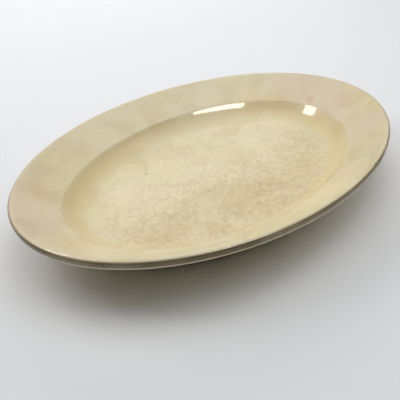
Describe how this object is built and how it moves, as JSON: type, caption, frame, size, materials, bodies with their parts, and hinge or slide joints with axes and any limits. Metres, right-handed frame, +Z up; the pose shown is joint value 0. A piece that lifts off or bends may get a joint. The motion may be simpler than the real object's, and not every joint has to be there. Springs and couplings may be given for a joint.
{
  "type": "serving platter",
  "caption": "Oval serving platter with a broad sloping rim, a rounded lip, a shallow well with a flat floor, and a low oval foot ring.",
  "frame": {"origin": "on the table under the centre of the oval, in the plane of the foot's bearing edge", "axes": "+X along the length of the oval, +Y across it, +Z up out of the well"},
  "size_m": [0.34, 0.245, 0.0396],
  "materials": {
    "clay": "bare fired clay, matte and slightly gritty",
    "glaze": "glossy warm cream glaze, lightly mottled and crazed"
  },
  "bodies": {
    "root": {"clay_body": "clay", "face_glaze": "glaze", "base_glaze": "glaze"}
  },
  "joints": []
}
